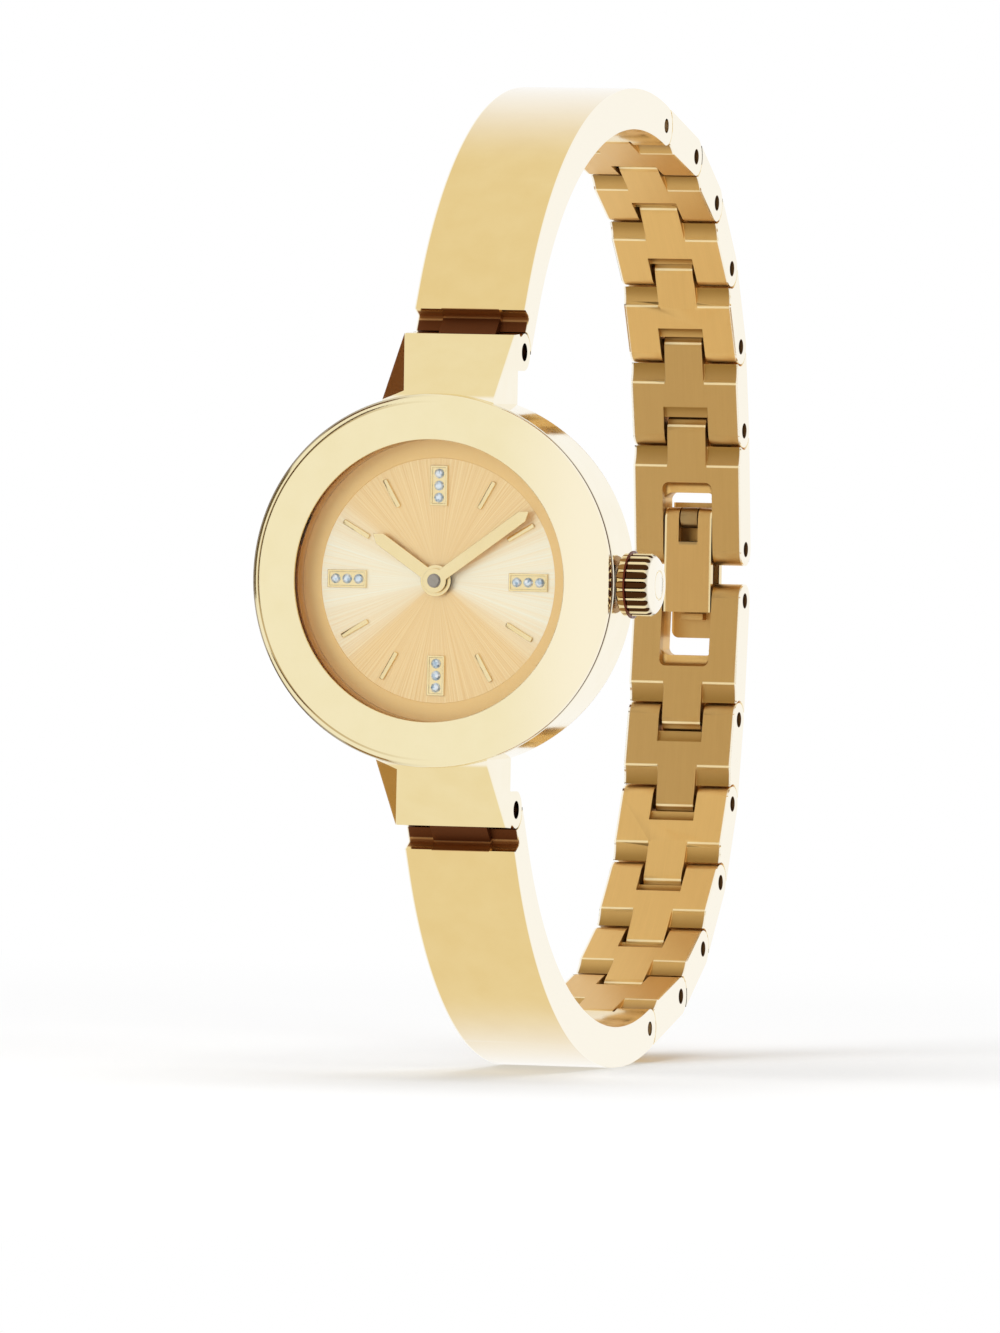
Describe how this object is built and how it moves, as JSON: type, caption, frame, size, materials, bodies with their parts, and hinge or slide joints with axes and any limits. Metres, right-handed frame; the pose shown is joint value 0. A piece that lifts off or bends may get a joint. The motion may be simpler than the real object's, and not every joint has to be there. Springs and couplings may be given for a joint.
{
  "type": "bangle watch",
  "caption": "Slim round bangle watch: a rigid half-bangle on each lug, jointed links behind them, a fold-over clasp and a fluted pull-out crown.",
  "frame": {"origin": "centre of the case back's outer face", "axes": "+X towards the crown, +Y out of the case back towards the clasp, +Z towards 12 o'clock"},
  "size_m": [0.0275, 0.0623, 0.067],
  "materials": {
    "case_gold": "polished pale gold plating on steel",
    "bezel_gold": "polished pale gold plating on steel",
    "sapphire_glass": "clear polished mineral glass",
    "clear_gasket": "translucent nylon",
    "inner_ring_gold": "polished gold plating on steel",
    "dial_champagne": "lacquered brass, sunray centre and satin rim",
    "marker_gold": "polished gold",
    "pale_stone": "cut glass",
    "black_rubber": "moulded",
    "holder_plastic": "moulded",
    "movement_plate": "moulded and plated",
    "cell_steel": "nickel plated steel",
    "coil_copper": "enamelled copper wire",
    "plain_steel": "turned steel",
    "crown_gold": "polished pale gold plating on steel",
    "hand_gold": "polished pale gold",
    "arbor_steel": "turned steel",
    "clasp_gold": "satin gold plating on steel",
    "link_gold": "polished sides, lengthwise brushed faces, gold plating on steel",
    "bangle_gold": "polished gold plating on steel",
    "pin_gold": "turned steel, gold plated ends"
  },
  "bodies": {
    "case": {"case_middle": "case_gold", "bezel": "bezel_gold", "crystal": "sapphire_glass", "crystal_gasket": "clear_gasket", "inner_ring": "inner_ring_gold", "dial": "dial_champagne", "dial_markers": "marker_gold", "marker_stones": "pale_stone", "case_back": "case_gold", "case_back_gasket": "black_rubber", "movement_holder": "holder_plastic", "movement": "movement_plate", "battery": "cell_steel", "coil": "coil_copper", "crown_tube": "plain_steel", "upper_lug_pin": "pin_gold", "lower_lug_pin": "pin_gold"},
    "hour": {"hour_hand": "hand_gold", "hour_tube": "arbor_steel"},
    "minute": {"minute_hand": "hand_gold", "minute_arbor": "arbor_steel"},
    "setting_lever": {"setting_lever": "plain_steel"},
    "crown": {"crown": "crown_gold", "stem": "plain_steel", "crown_gasket": "black_rubber"},
    "upper_bangle": {"upper_bangle": "bangle_gold", "upper_bangle_pin": "pin_gold"},
    "upper_link_1": {"upper_link_1": "link_gold", "upper_link_1_pin": "pin_gold"},
    "upper_link_2": {"upper_link_2": "link_gold", "upper_link_2_pin": "pin_gold"},
    "upper_link_3": {"upper_link_3": "link_gold", "upper_link_3_pin": "pin_gold"},
    "upper_link_4": {"upper_link_4": "link_gold", "upper_link_4_pin": "pin_gold"},
    "upper_link_5": {"upper_link_5": "link_gold", "upper_link_5_pin": "pin_gold"},
    "upper_clasp_link": {"upper_clasp_link": "link_gold", "catch_bar": "pin_gold"},
    "lower_bangle": {"lower_bangle": "bangle_gold", "lower_bangle_pin": "pin_gold"},
    "lower_link_1": {"lower_link_1": "link_gold", "lower_link_1_pin": "pin_gold"},
    "lower_link_2": {"lower_link_2": "link_gold", "lower_link_2_pin": "pin_gold"},
    "lower_link_3": {"lower_link_3": "link_gold", "lower_link_3_pin": "pin_gold"},
    "lower_link_4": {"lower_link_4": "link_gold", "lower_link_4_pin": "pin_gold"},
    "lower_link_5": {"lower_link_5": "link_gold", "lower_link_5_pin": "pin_gold"},
    "lower_clasp_link": {"lower_clasp_link": "link_gold", "blade_pin": "pin_gold"},
    "clasp_blade": {"clasp_blade": "clasp_gold", "cover_pin": "clasp_gold"},
    "clasp_cover": {"clasp_cover": "clasp_gold"}
  },
  "joints": [
    {"name": "minute_hand_turn", "type": "hinge", "parent": "case", "child": "minute", "pos_m": [0, -0.00618, 0], "axis": [0, 1, 0], "continuous": true},
    {"name": "hour_hand_turn", "type": "hinge", "parent": "case", "child": "hour", "pos_m": [0, -0.00585, 0], "axis": [0, 1, 0], "continuous": true},
    {"name": "crown_pull", "type": "slide", "parent": "case", "child": "setting_lever", "axis": [1, 0, 0], "range_m": [0, 0.001]},
    {"name": "crown_turn", "type": "hinge", "parent": "setting_lever", "child": "crown", "pos_m": [0.0127, -0.00385, 0], "axis": [1, 0, 0], "continuous": true},
    {"name": "upper_bangle_hinge", "type": "hinge", "parent": "case", "child": "upper_bangle", "pos_m": [0, 0.0007, 0.01535], "axis": [1, 0, 0], "range_deg": [0, 1]},
    {"name": "upper_link_1_hinge", "type": "hinge", "parent": "upper_bangle", "child": "upper_link_1", "pos_m": [0, 0.03238, 0.03111], "axis": [1, 0, 0], "range_deg": [0, 1]},
    {"name": "upper_link_2_hinge", "type": "hinge", "parent": "upper_link_1", "child": "upper_link_2", "pos_m": [0, 0.03961, 0.0291], "axis": [1, 0, 0], "range_deg": [0, 1]},
    {"name": "upper_link_3_hinge", "type": "hinge", "parent": "upper_link_2", "child": "upper_link_3", "pos_m": [0, 0.04473, 0.02597], "axis": [1, 0, 0], "range_deg": [0, 1]},
    {"name": "upper_link_4_hinge", "type": "hinge", "parent": "upper_link_3", "child": "upper_link_4", "pos_m": [0, 0.04866, 0.02144], "axis": [1, 0, 0], "range_deg": [0, 1]},
    {"name": "upper_link_5_hinge", "type": "hinge", "parent": "upper_link_4", "child": "upper_link_5", "pos_m": [0, 0.0512, 0.016], "axis": [1, 0, 0], "range_deg": [0, 1]},
    {"name": "upper_clasp_link_hinge", "type": "hinge", "parent": "upper_link_5", "child": "upper_clasp_link", "pos_m": [0, 0.0524, 0.01012], "axis": [1, 0, 0], "range_deg": [0, 1]},
    {"name": "lower_bangle_hinge", "type": "hinge", "parent": "case", "child": "lower_bangle", "pos_m": [0, 0.0007, -0.01535], "axis": [-1, 0, 0], "range_deg": [0, 1]},
    {"name": "lower_link_1_hinge", "type": "hinge", "parent": "lower_bangle", "child": "lower_link_1", "pos_m": [0, 0.03238, -0.03111], "axis": [-1, 0, 0], "range_deg": [0, 1]},
    {"name": "lower_link_2_hinge", "type": "hinge", "parent": "lower_link_1", "child": "lower_link_2", "pos_m": [0, 0.03961, -0.0291], "axis": [-1, 0, 0], "range_deg": [0, 1]},
    {"name": "lower_link_3_hinge", "type": "hinge", "parent": "lower_link_2", "child": "lower_link_3", "pos_m": [0, 0.04473, -0.02597], "axis": [-1, 0, 0], "range_deg": [0, 1]},
    {"name": "lower_link_4_hinge", "type": "hinge", "parent": "lower_link_3", "child": "lower_link_4", "pos_m": [0, 0.04866, -0.02144], "axis": [-1, 0, 0], "range_deg": [0, 1]},
    {"name": "lower_link_5_hinge", "type": "hinge", "parent": "lower_link_4", "child": "lower_link_5", "pos_m": [0, 0.0512, -0.016], "axis": [-1, 0, 0], "range_deg": [0, 1]},
    {"name": "lower_clasp_link_hinge", "type": "hinge", "parent": "lower_link_5", "child": "lower_clasp_link", "pos_m": [0, 0.0524, -0.01012], "axis": [-1, 0, 0], "range_deg": [0, 1]},
    {"name": "clasp_blade_hinge", "type": "hinge", "parent": "lower_clasp_link", "child": "clasp_blade", "pos_m": [0, 0.0533, -0.0018], "axis": [1, 0, 0], "range_deg": [0, 30]},
    {"name": "clasp_cover_hinge", "type": "hinge", "parent": "clasp_blade", "child": "clasp_cover", "pos_m": [0, 0.0529, 0.00395], "axis": [1, 0, 0], "range_deg": [0, 110]}
  ],
  "couplings": [
    {"joint": "hour_hand_turn", "follows": "minute_hand_turn", "ratio": 0.083333},
    {"joint": "upper_link_1_hinge", "follows": "upper_bangle_hinge", "ratio": 1},
    {"joint": "upper_link_2_hinge", "follows": "upper_bangle_hinge", "ratio": 1},
    {"joint": "upper_link_3_hinge", "follows": "upper_bangle_hinge", "ratio": 1},
    {"joint": "upper_link_4_hinge", "follows": "upper_bangle_hinge", "ratio": 1},
    {"joint": "upper_link_5_hinge", "follows": "upper_bangle_hinge", "ratio": 1},
    {"joint": "upper_clasp_link_hinge", "follows": "upper_bangle_hinge", "ratio": 1},
    {"joint": "lower_bangle_hinge", "follows": "upper_bangle_hinge", "ratio": 1},
    {"joint": "lower_link_1_hinge", "follows": "upper_bangle_hinge", "ratio": 1},
    {"joint": "lower_link_2_hinge", "follows": "upper_bangle_hinge", "ratio": 1},
    {"joint": "lower_link_3_hinge", "follows": "upper_bangle_hinge", "ratio": 1},
    {"joint": "lower_link_4_hinge", "follows": "upper_bangle_hinge", "ratio": 1},
    {"joint": "lower_link_5_hinge", "follows": "upper_bangle_hinge", "ratio": 1},
    {"joint": "lower_clasp_link_hinge", "follows": "upper_bangle_hinge", "ratio": 1},
    {"joint": "clasp_blade_hinge", "follows": "upper_bangle_hinge", "ratio": 30},
    {"joint": "clasp_cover_hinge", "follows": "upper_bangle_hinge", "ratio": 110}
  ]
}
